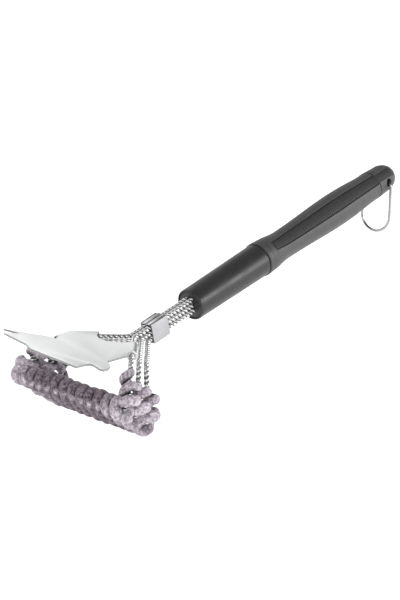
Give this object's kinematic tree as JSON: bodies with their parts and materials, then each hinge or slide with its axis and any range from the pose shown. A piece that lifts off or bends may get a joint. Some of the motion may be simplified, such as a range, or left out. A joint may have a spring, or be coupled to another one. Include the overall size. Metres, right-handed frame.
{
  "type": "grill cleaning brush",
  "caption": "Bristle-free grill brush: coiled mesh rows on twisted wire stems, forked sheet scraper, moulded handle and hanging loop.",
  "frame": {"origin": "on the handle's axis, at the open front end of the collar tube", "axes": "+Y along the handle towards the hanging loop, +X across the head, +Z away from the coiled rows"},
  "size_m": [0.1349, 0.4632, 0.0852],
  "materials": {
    "black_plastic": "satin moulded",
    "grip_plastic": "fine matt grain",
    "grip_rubber": "matt, cross-ribbed",
    "wire_rope": "bright drawn wire",
    "mesh_steel": "knitted wire mesh",
    "sheet_steel": "brushed sheet",
    "scraper_steel": "fine brushed sheet",
    "loop_wire": "bright plated wire"
  },
  "bodies": {
    "brush": {"collar_tube": "black_plastic", "grip_body": "grip_plastic", "grip_panel_right": "grip_rubber", "grip_panel_left": "grip_rubber", "end_cap": "grip_plastic", "neck_plug": "black_plastic", "anchor_sleeve": "sheet_steel", "neck_ferrule": "sheet_steel", "stem_front": "wire_rope", "stem_middle": "wire_rope", "stem_rear": "wire_rope", "coil_front": "mesh_steel", "coil_middle": "mesh_steel", "coil_rear": "mesh_steel", "scraper": "scraper_steel"},
    "loop": {"hanging_loop": "loop_wire"}
  },
  "joints": [
    {"name": "loop_swing", "type": "hinge", "parent": "brush", "child": "loop", "pos_m": [0, 0.283, -0.00145], "axis": [1, 0, 0], "range_deg": [-45, 180]}
  ]
}
